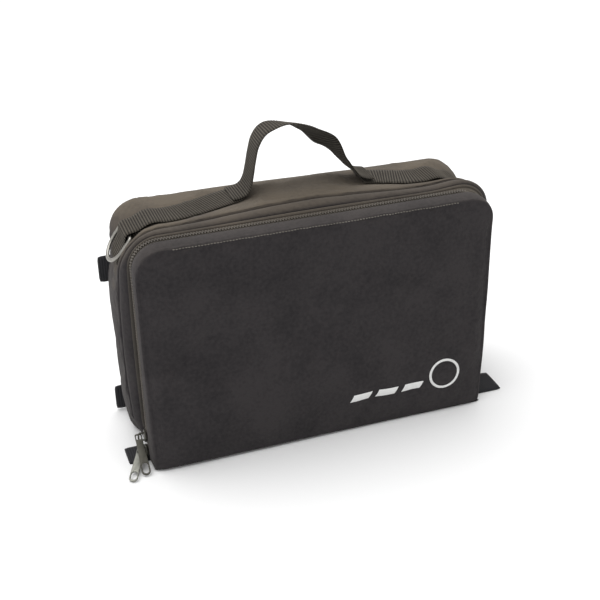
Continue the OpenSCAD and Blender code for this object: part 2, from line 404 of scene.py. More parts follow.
def per_point(mesh, what):
    """A vector that a mesh holds for each of its points."""
    values = np.zeros(len(mesh.vertices) * 3)
    mesh.vertices.foreach_get(what, values)
    return values.reshape(-1, 3)


def vertex_points(piece):
    return per_point(piece.data, "co") / MM


def point_normals(piece):
    return per_point(piece.data, "normal")


def ray_target(piece):
    """A piece in millimetres, ready for ray casts."""
    corners = [tuple(p) for p in vertex_points(piece)]
    return BVHTree.FromPolygons(corners, [tuple(f.vertices) for f in piece.data.polygons])


def on_front_of(piece, points):
    """The points moved along the depth onto the front of a piece, where they are in front of it."""
    tree = ray_target(piece)
    placed = np.array(points, float)
    for p in placed:
        hit = tree.ray_cast((p[0], FRONT_Y - 50.0, p[2]), (0.0, 1.0, 0.0))[0]
        if hit is not None and hit.y < LID_EDGE_Y:
            p[1] = hit.y
    return placed


def puff(piece, pinned, pressure, slack, cap):
    """Fills the cloth out between its seams with a cloth simulation, and keeps the result.

    pinned says which points are sewn down, slack is the spare cloth as a share of its size, and
    cap is the furthest that a point may move, in millimetres.
    """
    scene = bpy.context.scene
    rest = vertex_points(piece)
    group = piece.vertex_groups.new(name="sewn")
    group.add([int(i) for i in np.nonzero(pinned)[0]], 1.0, "REPLACE")
    cloth_step = piece.modifiers.new("puff", "CLOTH")
    settings = cloth_step.settings
    settings.quality = 6
    settings.mass = 0.2
    settings.tension_stiffness = 30.0
    settings.compression_stiffness = 30.0
    settings.shear_stiffness = 12.0
    settings.bending_stiffness = 1.5
    settings.use_pressure = True
    settings.uniform_pressure_force = pressure
    settings.shrink_min = -slack
    settings.effector_weights.gravity = 0.0
    settings.vertex_group_mass = "sewn"
    cloth_step.collision_settings.use_collision = False
    scene.frame_start, scene.frame_end = 1, CLOTH_FRAMES
    cloth_step.point_cache.frame_start = 1
    cloth_step.point_cache.frame_end = CLOTH_FRAMES
    for step in range(1, CLOTH_FRAMES + 1):
        scene.frame_set(step)
    result = piece.evaluated_get(bpy.context.evaluated_depsgraph_get()).to_mesh()
    move = per_point(result, "co") / MM - rest
    away = point_normals(piece)
    move -= np.minimum((move * away).sum(axis=1), 0.0)[:, None] * away
    size = np.linalg.norm(move, axis=1)
    move *= (cap * np.tanh(size / cap) / np.maximum(size, 1e-6))[:, None]
    piece.modifiers.remove(cloth_step)
    piece.vertex_groups.clear()
    piece.data.vertices.foreach_set("co", ((rest + move) * MM).ravel())
    piece.data.update()
    scene.frame_set(1)


def sheet_band(name, path, shape):
    """A single sheet of cloth that follows a path of (depth, inset) round the bag's outline."""
    rings = outlines(path)
    faces = grid_faces(len(rings), len(rings[0]), wrap_columns=True)
    return outward_normals(new_piece(name, shape(np.vstack(rings)), faces))


def set_attribute(piece, name, values):
    """Stores one number per point for the materials to read."""
    holder = piece.data.attributes.new(name, "FLOAT", "POINT")
    holder.data.foreach_set("value", values.astype(np.float32))


def add_dust_and_top_light(piece, top=1.0):
    """A point attribute that says how much dust, and painted light on faces that look up, pale the
    cloth at rest.
    """
    # painted light: faces that look up are paled more, as if lit by the lamp above, on top of some
    # dust
    amount = top * ramp(point_normals(piece)[:, 2], 0.05, 0.85)
    amount = amount * (0.85 + 0.3 * cloudy(vertex_points(piece), DUST_AND_LIGHT_GRAIN, DUST_AND_LIGHT_SEED))
    set_attribute(piece, "dust_and_top_light", np.clip(amount, 0, 1))


# ---- materials ----
def shader(name, roughness, metallic=0.0, sheen=0.0, tint=(1, 1, 1), specular=0.5):
    """A material, its node tree and its main shader."""
    material = bpy.data.materials.new(name)
    material.use_nodes = True
    tree = material.node_tree
    main = tree.nodes["Principled BSDF"]
    main.inputs["Roughness"].default_value = roughness
    main.inputs["Metallic"].default_value = metallic
    main.inputs["Sheen Weight"].default_value = sheen
    main.inputs["Sheen Roughness"].default_value = 0.55
    main.inputs["Sheen Tint"].default_value = (*tint, 1.0)
    main.inputs["Specular IOR Level"].default_value = specular
    return material, tree, main


def math_node(tree, operation, a, b=None):
    node = tree.nodes.new("ShaderNodeMath")
    node.operation = operation
    for socket, value in zip(node.inputs, (a, b)):
        if value is None:
            continue
        if isinstance(value, (int, float)):
            socket.default_value = value
        else:
            tree.links.new(value, socket)
    return node.outputs[0]


def place_node(tree):
    """The place on the piece, in metres."""
    return tree.nodes.new("ShaderNodeTexCoord").outputs["Object"]


def noise_node(tree, where, per_metre, detail=2.0):
    node = tree.nodes.new("ShaderNodeTexNoise")
    node.inputs["Scale"].default_value = per_metre
    node.inputs["Detail"].default_value = detail
    tree.links.new(where, node.inputs["Vector"])
    return node.outputs["Fac"]


def mix_colours(tree, amount, first, second):
    node = tree.nodes.new("ShaderNodeMix")
    node.data_type = "RGBA"
    colours = [s for s in node.inputs if s.type == "RGBA"]
    for socket, value in zip(colours, (first, second)):
        if isinstance(value, tuple):
            socket.default_value = (*value, 1.0)
        else:
            tree.links.new(value, socket)
    tree.links.new(amount, node.inputs["Factor"])
    return next(s for s in node.outputs if s.type == "RGBA")


def attribute_node(tree, name):
    """A number that the piece holds per point."""
    node = tree.nodes.new("ShaderNodeAttribute")
    node.attribute_name = name
    return node.outputs["Fac"]


def add_bump(tree, main, height, strength, depth):
    """Fine relief of the given depth in millimetres."""
    bump = tree.nodes.new("ShaderNodeBump")
    bump.inputs["Strength"].default_value = strength
    bump.inputs["Distance"].default_value = depth * MM
    tree.links.new(height, bump.inputs["Height"])
    tree.links.new(bump.outputs["Normal"], main.inputs["Normal"])


def weave(tree, where, pitch):
    """The sum of a wave along each axis, one thread long."""
    split = tree.nodes.new("ShaderNodeSeparateXYZ")
    tree.links.new(where, split.inputs[0])
    threads = None
    for axis in range(3):
        turns = math_node(tree, "MULTIPLY", split.outputs[axis], 2 * math.pi / (pitch * MM))
        wave = math_node(tree, "SINE", turns)
        threads = wave if threads is None else math_node(tree, "ADD", threads, wave)
    return threads


def cloth(
    name, dark, pale, pitch, depth, roughness=0.95, sheen=0.06, dust_and_light_colour=None, mottling=1.0, groove_shade=0.0
):
    """Woven cloth with threads pitch apart and depth deep, in millimetres, and uneven colour.

    One setting gives the colour of dust and of painted light on faces that look up, where the piece
    holds an amount of them. Another says how dark the shade painted into the hollows between the
    ribs is, where the piece holds ribs.
    """
    tint = (1.0, 0.94, 0.86)
    material, tree, main = shader(name, roughness, sheen=sheen, tint=tint, specular=0.16)

    def calc(operation, a, b, clamp=False):
        result = math_node(tree, operation, a, b)
        result.node.use_clamp = clamp
        return result

    where = place_node(tree)
    fibres = noise_node(tree, where, 900.0)
    speckle = noise_node(tree, where, 260.0, 3.0)
    patches = noise_node(tree, where, 22.0, 4.0)
    uneven = calc("ADD", calc("MULTIPLY", speckle, 0.6), calc("MULTIPLY", patches, 0.7))
    amount = calc("MULTIPLY", calc("SUBTRACT", uneven, 0.4), 1.6 * mottling, clamp=True)
    colour = mix_colours(tree, amount, dark, pale)
    # dust and painted top light pale the colour where the piece holds them
    if dust_and_light_colour is not None:
        dust_and_top_light = attribute_node(tree, "dust_and_top_light")
        share = calc("MULTIPLY", dust_and_top_light, calc("ADD", uneven, 0.4), clamp=True)
        colour = mix_colours(tree, share, colour, dust_and_light_colour)
    # painted shade: the hollows between the ribs are darkened towards a shade colour, as if shadowed
    if groove_shade:
        hollow = calc("MULTIPLY", calc("SUBTRACT", 1.0, attribute_node(tree, "rib")), groove_shade)
        colour = mix_colours(tree, hollow, colour, tuple(0.12 * c for c in dark))
    tree.links.new(colour, main.inputs["Base Color"])
    height = calc("ADD", calc("MULTIPLY", weave(tree, where, pitch), 0.16), fibres)
    add_bump(tree, main, height, 0.55, depth)
    return material


def metal(name, colour, worn, roughness):
    """Plated metal with fine scratches and slightly darker, duller patches."""
    material, tree, main = shader(name, roughness, metallic=0.9)
    where = place_node(tree)
    patches = noise_node(tree, where, 240.0, 4.0)
    tree.links.new(mix_colours(tree, patches, worn, colour), main.inputs["Base Color"])
    rough = math_node(tree, "ADD", math_node(tree, "MULTIPLY", patches, 0.22), roughness - 0.1)
    tree.links.new(rough, main.inputs["Roughness"])
    stretched = tree.nodes.new("ShaderNodeMapping")
    stretched.inputs["Scale"].default_value = (1.0, 1.0, 9.0)
    tree.links.new(where, stretched.inputs["Vector"])
    add_bump(tree, main, noise_node(tree, stretched.outputs[0], 700.0), 0.2, 0.08)
    return material


def foam_material():
    """Closed-cell foam: even grey with small cells."""
    material, tree, main = shader("foam_grey", 0.95, specular=0.2)
    where = place_node(tree)
    cells = tree.nodes.new("ShaderNodeTexVoronoi")
    cells.inputs["Scale"].default_value = 1100.0
    tree.links.new(where, cells.inputs["Vector"])
    distance = cells.outputs["Distance"]
    colour = mix_colours(tree, distance, (0.16, 0.16, 0.165), (0.1, 0.1, 0.104))
    tree.links.new(colour, main.inputs["Base Color"])
    add_bump(tree, main, distance, 0.4, 0.3)
    return material


# the colour of dust, and of painted light on the upward faces
DUST_AND_TOP_LIGHT_COLOUR = (0.1, 0.083, 0.064)
NYLON = cloth(
    "nylon", (0.018, 0.0164, 0.0182), (0.034, 0.0305, 0.032), 1.0, 0.4, dust_and_light_colour=DUST_AND_TOP_LIGHT_COLOUR, mottling=1.7
)
LINING = cloth("lining_cloth", (0.032, 0.032, 0.035), (0.052, 0.052, 0.056), 0.7, 0.15, 0.85)
TAPE = cloth("woven_tape", (0.026, 0.023, 0.02), (0.048, 0.042, 0.036), 0.9, 0.3, dust_and_light_colour=DUST_AND_TOP_LIGHT_COLOUR)
# both webbings get painted shade in the hollows between their ribs, the dark one half as much
WEBBING = cloth(
    "webbing_cloth", (0.05, 0.044, 0.036), (0.1, 0.09, 0.074), 0.8, 0.35, dust_and_light_colour=DUST_AND_TOP_LIGHT_COLOUR, groove_shade=1.0
)
DARK_WEB = cloth(
    "dark_webbing_cloth", (0.024, 0.024, 0.027), (0.042, 0.042, 0.046), 1.2, 0.3, groove_shade=0.5
)
BOARD = cloth("board_cover", (0.018, 0.018, 0.019), (0.028, 0.028, 0.03), 0.9, 0.2)
COIL = cloth("coil_nylon", (0.045, 0.038, 0.032), (0.1, 0.088, 0.074), 0.5, 0.1, 0.45, 0.1)
THREAD = cloth("stitch_thread", (0.11, 0.1, 0.085), (0.24, 0.22, 0.19), 0.4, 0.15, 0.7)
EMBROIDERY = cloth(
    "white_thread", (0.72, 0.72, 0.71), (0.86, 0.86, 0.85), 0.8, 0.4, 0.7, mottling=0.5
)
FOAM = foam_material()
SLIDER_METAL = metal("gunmetal", (0.12, 0.116, 0.098), (0.06, 0.057, 0.048), 0.45)
BRIGHT_METAL = metal("pull_metal", (0.3, 0.3, 0.27), (0.14, 0.14, 0.12), 0.42)
RING_METAL = metal("nickel", (0.38, 0.37, 0.34), (0.2, 0.19, 0.17), 0.42)


def finish_piece(piece, material, slot, body, *stands_for):
    """Gives a piece its material and makes it ride on its body. The slot is not used."""
    piece.data.materials.append(material)
    if stands_for:
        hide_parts(*stands_for)
    if body:
        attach(piece, body)
    return piece


# ---- outer shell ----
def shell_wrinkles(points, size):
    """Shallow folds in the cloth, as a push along the outward direction."""
    p = np.array(points, float)
    outward = unit((p - [0.0, 22.0, 120.0]) * [1.0, 0.3, 1.0])
    amount = size * (0.7 * cloudy(p, 60.0, 1) + 0.3 * cloudy(p * [1, 2.2, 1], 22.0, 2))
    floor = ramp(p[:, 2], 3.0, 25.0)
    return p + outward * (amount * floor)[:, None]


def gusset_wrinkles(points):
    return shell_wrinkles(points, 0.8)


def strap_line(x):
    """Depth of the middle of the strap, from the handle's foot to the ring."""
    return STRAP_Y + (RING_Y - STRAP_Y) * ramp(np.abs(x), 60.0, CORNER_X)


def body_shape(points):
    """The main body's wrinkles, and the hollow that the strap presses into it."""
    p = shell_wrinkles(points, 1.5)
    x, y, z = p.T
    under = ramp(np.abs(y - strap_line(x)), 26.0, 18.0)
    under = under * ramp(z, 196.0, 212.0) * ramp(np.abs(x), 55.0, 75.0)
    past_corner = np.sign(x) * np.clip(np.abs(x) - CORNER_X, 0, None)
    outward = xyz(past_corner, 0.0, z - CORNER_Z)
    outward /= np.maximum(np.linalg.norm(outward, axis=1), 1.0)[:, None]
    return p - outward * (STRAP_PRESS * under)[:, None]


def make_gusset():
    """The main body's side band: puffed behind the groove, and rolled over the rear edge."""
    groove = [(SEAM_Y + 1.3, 4.2), (SEAM_Y + 1.8, 0.6), (SEAM_Y + 5.0, -2.4)]
    side = [(-6.0, -1.6), (10.0, -0.4), (34.0, -0.6), (52.0, -0.4)]
    roll = [(61.0, 1.4), (66.6, 5.4), (69.2, 10.0), (69.4, 12.0), (68.2, 12.6)]
    piece = sheet_band("main_body_shell", curve_through(groove + side + roll, 6), body_shape)
    x, y, z = vertex_points(piece).T
    pressed = (np.abs(y - strap_line(x)) < WEB_W / 2) & (z > 208.0) & (np.abs(x) > 60.0)
    sewn = (y < SEAM_Y + 3) | (y > 66.0) | (z < 6.0)
    puff(piece, sewn | pressed, pressure=1.2, slack=0.02, cap=4.0)
    add_dust_and_top_light(piece)
    thicken(piece, FABRIC_T)
    return finish_piece(piece, NYLON, "shell_nylon", "bag", "main_gusset")


def panel(name, y, inset, thickness, swell, low=0.0, lumps=0.0, seed=5):
    """A flat panel that fills the outline at depth y, crowned by swell towards y's own side."""
    front = settle(coons(ring(y, inset, low)).reshape(-1, 3))
    half, high = station(y)[:2]
    u = np.clip(np.abs(front[:, 0]) / (half - inset), 0, 1)
    v = np.clip(np.abs(front[:, 2] - high / 2) / (high / 2 - inset), 0, 1)
    crown = (1 - u**6) * (1 - v**6)
    side = 1 if y > 0 else -1
    front[:, 1] += side * crown * (swell + lumps * cloudy(front, 70.0, seed))
    back = front - [0.0, side * thickness, 0.0]
    return new_piece(name, *slab(front, back, UP + 1, ALONG + 1))


def make_rear_panel():
    piece = panel("rear_panel_cloth", 68.6, 11.0, FABRIC_T, swell=1.2, lumps=1.2)
    add_dust_and_top_light(piece)
    return finish_piece(piece, NYLON, "shell_nylon", "bag", "rear_panel")


def make_zipper_gusset():
    """The narrow puffed strip between the zipper tape and the main body's groove."""
    front = [(-34.6, 3.0), (-34.4, 0.2), (-32.0, -2.2), (-28.0, -3.0)]
    rear = [(-24.2, -1.8), (-22.4, 1.0), (-22.0, 3.8)]
    profile = layer(curve_through(front + rear, 5), FABRIC_T)
    piece = band("zipper_gusset_cloth", profile, closed=False, shape=gusset_wrinkles)
    add_dust_and_top_light(piece, 0.6)
    return finish_piece(piece, NYLON, "shell_nylon", "bag", "zipper_gusset")


def make_tape(name, path, body, node, low=0.0):
    piece = band(name, layer(curve_through(path, 4), 1.0), closed=False, low=low)
    add_dust_and_top_light(piece, 0.5)
    finish_piece(piece, TAPE, "binding_tape", body, node)


def make_tapes():
    """The two woven tapes that carry the teeth. The rear one shows as a low ridge."""
    ridge = [(-39.6, 0.5), (-37.6, -0.4), (-36.0, 0.4), (-35.2, 2.0)]
    rear = [(-45.7, 1.7), (-40.6, 1.7)] + ridge
    make_tape("rear_zipper_tape", rear, "bag", "zipper_tape_rear")
    front = [(-53.5, 1.7), (-50.0, 1.6), (-46.3, 1.6)]
    make_tape("front_zipper_tape", front, "lid", "zipper_tape_front", LID_LOW)


# ---- zipper teeth ----
def make_teeth(name, side, body, node):
    """One row of coil turns. side is -1 for the lid's row, which lies in front of the chain."""
    line = without_bottom(ring(CHAIN_Y, 0.7))
    fine = resampled(line, 2 * int(lengths_along(line)[-1] / TOOTH_PITCH))
    # each row takes every second step, and the two rows are one step apart
    first = 1 if side > 0 else 2
    picked = fine[first:-1:2]
    ahead = fine[first + 1 :: 2][: len(picked)]
    picked = picked[: len(ahead)]
    run = unit(ahead - picked)
    out = xyz(run[:, 2], 0.0, -run[:, 0])
    out *= np.sign((out * (picked - [0, 0, 120])).sum(axis=1))[:, None]
    across = np.array([0.0, float(side), 0.0])
    # stations across the chain: distance from the middle, half width and half height of a turn
    shape = ((-0.5, 0.5, 0.6), (0.0, 0.85, 0.9), (1.7, 0.8, 1.0), (3.0, 0.9, 0.9), (3.4, 0.5, 0.4))
    corners = 6
    angles = np.linspace(0, 2 * math.pi, corners + 1)[:-1]
    points, faces = [], []
    for at, r, o in zip(picked, run, out):
        start = len(points)
        for distance, wide, tall in shape:
            middle = at + across * distance
            points += [middle + r * wide * math.cos(a) + o * tall * math.sin(a) for a in angles]
        faces += grid_faces(len(shape), corners, start, wrap_columns=True)
        faces += end_caps(len(shape), corners, start)
    piece = new_piece(name, points, faces)
    add_dust_and_top_light(piece, 0.5)
    return finish_piece(piece, COIL, "zipper_coil", body, node)


# ---- lid ----
def lid_front(x, z):
    """Depth of the lid's soft front face at a place."""
    u = np.clip(np.abs(x) / LID_HALF, 0, 1)
    v = np.clip(np.abs(z - LID_TOP / 2) / (LID_TOP / 2), 0, 1)
    crown = (1 - u**5) * (1 - v**7)
    flat = xyz(x, 0.0, z)
    lumps = 1.1 * cloudy(flat, 95.0, 11) + 0.35 * cloudy(flat, 28.0, 12)
    lower_left = np.exp(-(((x + 168.0) / 40.0) ** 2) - ((z - 45.0) / 60.0) ** 2)
    hang = ramp(z, 150.0, 12.0) * (6.2 - 3.2 * ramp(x, -150.0, 100.0))
    aside = np.clip((LID_HALF - np.abs(x)) / 18.0, 0, 1)
    rounding = 5.5 * (1 - aside) ** 2 * ramp(z, 240.0, 205.0)
    return FRONT_Y - crown * (1.2 + lumps) - 2.0 * lower_left * crown - hang + rounding


def pucker(x, seed=21):
    """Small gathers where the top edge is stitched down."""
    return 0.5 * cloudy(xyz(x, 0.0, 0.0), 7.0, seed, 3)


def make_lid():
    """The lid's cloth: its front face, a stitched crease along the top, and the rolled edge."""
    crease = [(-69.9, 4.6), (-70.1, 2.6), (-69.0, 1.1), (-67.0, 0.3)]
    roll = [(-61.0, -0.6), (-55.0, -0.4), (-51.6, 0.1), (-51.0, 0.8), (-51.4, 1.6), (-54.0, 1.7)]
    profile = curve_through(crease + roll, 3)
    inner_edge = ring(FRONT_Y, 4.6, LID_LOW)
    grid = coons(inner_edge)
    rows, columns = grid.shape[:2]
    face = grid.reshape(-1, 3)
    face[:, 1] = lid_front(face[:, 0], face[:, 2])
    face[:, 0] += lid_lean(face[:, 0], face[:, 2])
    bulge = lid_front(inner_edge[:, 0], inner_edge[:, 2]) - FRONT_Y
    loops = [ring(y, inset, LID_LOW) for y, inset in profile[1:]]
    for i, loop in enumerate(loops):
        # the roll follows the face near the crease, and its bottom sags
        hold = ramp(i, 14.0, 0.0)
        loop[:, 2] -= 1.9 * ramp(loop[:, 2], 14.0, 3.0) * ramp(i, 20.0, 12.0)
        loop[:, 1] += bulge * hold
        high = ramp(loop[:, 2], 225.0, 246.0)
        loop[:, 2] += high * hold * pucker(loop[:, 0])
        loop[:, 1] += high * hold * pucker(loop[:, 0], 23)
    rim = rim_of(rows, columns)
    count = len(rim)
    start = len(face)
    faces = grid_faces(rows, columns)
    for i in range(count):
        k = (i + 1) % count
        faces.append((rim[i], rim[k], start + k, start + i))
    faces += grid_faces(len(loops), count, start, wrap_columns=True)
    points = np.vstack([face] + [settle(loop) for loop in loops])
    piece = outward_normals(new_piece("lid_shell", points, faces))
    y, z = vertex_points(piece)[:, 1:].T
    puff(piece, (y > -69.0) | (z < 10.0), pressure=0.5, slack=0.012, cap=2.5)
    add_dust_and_top_light(piece, 0.12)
    thicken(piece, 1.0)
    return finish_piece(piece, NYLON, "shell_nylon", "lid", "lid_panel")


def make_topstitch(lid):
    """A row of pale stitches along the crease at the top of the lid."""
    edge = ring(FRONT_Y, 2.3, LID_LOW)
    fine = resampled(edge[ALONG + UP + 8 : 2 * ALONG + UP - 7], 96)
    fine[:, 2] += pucker(fine[:, 0])
    fine = on_front_of(lid, fine)
    corners = 6
    turns = [i * math.pi / 3 for i in range(corners)]
    points, faces = [], []
    for a, b in zip(fine, fine[1:]):
        gap = 0.16 * (b - a)
        a, b = a + gap, b - gap
        middle = (a + b) / 2 + [0, -0.55, 0]
        direction = (b - a) / np.linalg.norm(b - a)
        other = np.array([-direction[2], 0.0, direction[0]])
        centres = (a, (a + middle) / 2, middle, (b + middle) / 2, b)
        start = len(points)
        for centre, r in zip(centres, (0.2, 0.42, 0.5, 0.42, 0.2)):
            for turn in turns:
                points.append(centre + r * (other * math.cos(turn) + [0, math.sin(turn), 0]))
        faces += grid_faces(len(centres), corners, start, wrap_columns=True)
    piece = new_piece("lid_topstitch", points, faces)
    return finish_piece(piece, THREAD, "binding_tape", "lid")


# ---- inside of the bag ----
def make_linings():
    """Foam sheets, lining cloth and bound seams inside the main body and the lid."""
    inner = [(y, 6.3) for y in (-12, -2, 10, 22, 34, 46, 58)]
    outer = [(y, 1.9) for y in (46, 34, 22, 10, -2, -12)]
    front_end = [(-18.0, 2.6), (-17.6, 4.2), (-18.0, 5.9)]
    foam = curve_through(front_end + inner + [(61.0, 5.2), (56.0, 3.0)] + outer, 3)
    piece = band("side_foam_sheet", foam, shape=body_shape)
    finish_piece(piece, FOAM, "foam", "bag", "gusset_foam")
    piece = panel("rear_foam_sheet", 66.6, 9.5, 3.4, swell=0.5)
    finish_piece(piece, FOAM, "foam", "bag", "rear_foam")
    side = layer(curve_through([(-19.0, 6.55), (10.0, 6.7), (62.4, 6.55)], 16), LINING_T)
    piece = band("side_lining_cloth", side, shape=body_shape)
    finish_piece(piece, LINING, "lining", "bag", "gusset_lining")
    piece = panel("rear_lining_cloth", 62.9, 6.8, LINING_T, swell=0.3, lumps=0.4, seed=8)
    finish_piece(piece, LINING, "lining", "bag", "rear_lining")
    for word, y in (("front", -19.4), ("rear", 52.6)):
        edge = [(y, 7.6), (y + 0.3, 9.1), (y + 5.0, 9.4), (y + 9.6, 9.1), (y + 10.0, 7.6)]
        piece = band(f"{word}_seam_binding", curve_through(edge, 4), shape=body_shape)
        finish_piece(piece, TAPE, "binding_tape", "bag", f"seam_binding_{word}")
    piece = panel("lid_foam_sheet", -66.8, 13.0, 3.3, swell=0.9, low=LID_LOW)
    finish_piece(piece, FOAM, "foam", "lid", "lid_foam")
    piece = panel(
        "lid_lining_cloth", -63.5, 1.9, LINING_T, swell=-0.3, low=LID_LOW, lumps=0.25, seed=9
    )
    finish_piece(piece, LINING, "lining", "lid", "lid_lining")
    edge = [(-62.7, 1.7), (-61.0, 1.6), (-59.8, 2.3), (-60.2, 3.4), (-62.6, 3.6)]
    piece = band("lid_seam_binding", curve_through(edge, 4), low=LID_LOW)
    finish_piece(piece, TAPE, "binding_tape", "lid", "lid_binding")


def cushion_box(name, low, high, radius):
    """A block with rounded edges."""
    shape = bmesh.new()
    bmesh.ops.create_cube(shape, size=1.0)
    size = np.array(high) - np.array(low)
    middle = (np.array(high) + np.array(low)) / 2
    for v in shape.verts:
        v.co = Vector(np.array(v.co) * size + middle)
    bmesh.ops.bevel(shape, geom=shape.edges[:], offset=radius, segments=3, affect="EDGES")
    shape.verts.ensure_lookup_table()
    points = [tuple(v.co) for v in shape.verts]
    faces = [tuple(v.index for v in f.verts) for f in shape.faces]
    shape.free()
    return new_piece(name, points, faces)


def make_floor_parts():
    """The stiff board inside the floor, and the strip under the lid that it folds on."""
    low, high = (np.array(corner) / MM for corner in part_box("base_board"))
    board = cushion_box("floor_board", low, high, 0.9)
    finish_piece(board, BOARD, "board", "bag", "base_board")
    path = [(-69.6, 0.9), (-69.0, 0.3), (-45.0, 0.25), (-22.0, 0.3), (-21.2, 0.9)]
    rings = [r[: ALONG + 1] for r in outlines(layer(curve_through(path, 8), 1.1))]
    strip = new_piece("hinge_strip", *swept(rings, closed=False))
    finish_piece(strip, NYLON, "shell_nylon", "bag", "hinge_gusset")


def make_pocket():
    """The flat map pocket sewn to the lid's lining, with a bound top edge."""
    columns, rows = 61, 27
    half, low, high = 150, 22, 146
    cloth_t = 0.5
    x, z = np.meshgrid(np.linspace(-half, half, columns), np.linspace(low, high, rows))
    x, z = x.ravel(), z.ravel()
    flat = xyz(x, 0.0, z)
    # it stands off the lining towards its open top edge
    gape = 1.3 * ramp(z, 60, high) * (1 - np.abs(x / half) ** 4)
    gap = gape * (0.7 + 0.5 * cloudy(flat, 60.0, 31)) + 0.15 * cloudy(flat, 25.0, 32)
    front = xyz(x, -62.3 + gap, z)
    pocket = new_piece("lid_pocket_cloth", *slab(front, front + [0, cloth_t, 0], rows, columns))
    finish_piece(pocket, LINING, "lining", "lid", "lid_pocket")
    section = [(-0.4, -3.0), (-0.5, 5.0), (0.2, 9.6), (0.9, 5.0), (0.95, -3.0), (0.5, -3.6)]
    lines = [front[-columns:] + [0, dy, dz] for dy, dz in section]
    hem = new_piece("lid_pocket_binding", *swept(lines, closed=False))
    finish_piece(hem, TAPE, "binding_tape", "lid", "lid_pocket_hem")
    return pocket, hem


# ---- webbing ----
def webbing(name, centre, across, out, half, thickness, ribs=RIB_HEIGHT):
    """A strip of ribbed webbing along centre, with its width along across."""
    rib = ribs * np.sin(2 * math.pi * lengths_along(centre) / RIB_PITCH)
    # the cross-section: over the outer face and back along the inner one
    width = np.linspace(-1, 1, 9)
    rounding = np.sqrt(np.clip(1 - width**8, 0.15, 1))
    s = np.concatenate([width, width[::-1]])
    r = np.concatenate([rounding, -rounding[::-1]])
    lift = r * np.where(np.abs(s) > 0.99, thickness / 3, thickness / 2 + rib[:, None])
    points = centre[:, None] + across[:, None] * (s * half[:, None])[..., None]
    points = points + out[:, None] * lift[..., None]
    count = len(s)
    faces = grid_faces(len(centre), count, wrap_columns=True) + end_caps(len(centre), count)
    piece = new_piece(name, points.reshape(-1, 3), faces, merge=False)
    # the rib phase also sets where shade is painted into the hollows between the ribs
    set_attribute(piece, "rib", np.repeat(0.5 + 0.5 * rib / ribs, count))
    return piece


def frames_along(centre, across):
    """Unit across and outward directions for a strip: across is made square to the path."""
    run = unit(np.gradient(centre, axis=0))
    across = unit(across - (across * run).sum(axis=1)[:, None] * run)
    return across, np.cross(run, across)


def above(piece, centre, gap, moved):
    """The strap's centre line raised clear of a piece below it, over the strap's whole width."""
    tree = ray_target(piece)
    needed = centre[:, 2].copy()
    for i in np.nonzero(moved)[0]:
        for aside in np.linspace(-0.5, 0.5, 7) * WEB_W:
            start = (centre[i, 0], centre[i, 1] + aside, BODY_TOP + 100.0)
            hit = tree.ray_cast(start, (0.0, 0.0, -1.0))[0]
            if hit is not None:
                needed[i] = max(needed[i], hit.z + gap)
    # the lift is smoothed over 25 points, so that the strap has no steps
    reach = 12
    kernel = np.hanning(2 * reach + 1) / np.hanning(2 * reach + 1).sum()
    lift = np.convolve(np.pad(needed - centre[:, 2], reach, mode="edge"), kernel, mode="valid")
    raised = centre.copy()
    raised[:, 2] += lift
    return raised


def make_strap(name, side, foot_x, node, shell):
    """The strap from the handle's foot round the corner, over the ring's bar and folded under."""
    fold_angle = 13.0  # how far down the corner the fold at the end is
    bar_gap = 1.2
    fold_gap = 0.4
    tail_drop = 0.8
    under_r = CORNER_R + WEB_T / 2
    over_r = under_r + WEB_T + fold_gap
    angle = np.linspace(90, fold_angle + 1, 60)
    over_bar = (2 * RING_WIRE_R + bar_gap) * np.exp(-(((angle - 45.0) / 7.0) ** 2))
    reach = over_r + over_bar - (over_r - under_r) * ramp(angle, 70.0, 90.0)
    radians = np.radians(angle)
    bend = [CORNER_X + reach * np.cos(radians), CORNER_Z + reach * np.sin(radians)]
    steps = np.linspace(0, 1, 20)
    top = [(foot_x + (CORNER_X - foot_x) * t, BODY_TOP + WEB_T / 2) for t in steps]
    fold_r = (over_r - under_r) / 2
    fold_x = CORNER_X + (under_r + fold_r) * math.cos(math.radians(fold_angle))
    fold_z = CORNER_Z + (under_r + fold_r) * math.sin(math.radians(fold_angle))
    fold = arc(fold_x, fold_z, fold_r, fold_angle, fold_angle - 180, 8)
    tail = arc(CORNER_X, CORNER_Z, under_r - tail_drop, fold_angle + 2, 60, 14)
    line = np.vstack([top, np.column_stack(bend)[1:], fold, tail])
    x, z = resampled(line, 460).T
    end = ramp(x, foot_x, CORNER_X)
    centre = xyz(side * x, STRAP_Y + (RING_Y - STRAP_Y) * end, z)
    centre += (settle(centre) - centre) * (1 - ramp(x, 135, 165))[:, None]
    centre = above(shell, centre, WEB_T / 2 + 0.2, x < 150.0)
    across, out = frames_along(centre, np.tile([0.0, 1.0, 0.0], (len(centre), 1)))
    if out[10, 2] < 0:
        out = -out
    piece = webbing(name, centre, across, out, WEB_W / 2 - 1.0 * end, WEB_T)
    add_dust_and_top_light(piece, 0.3)
    return finish_piece(piece, WEBBING, "webbing", "bag", node)


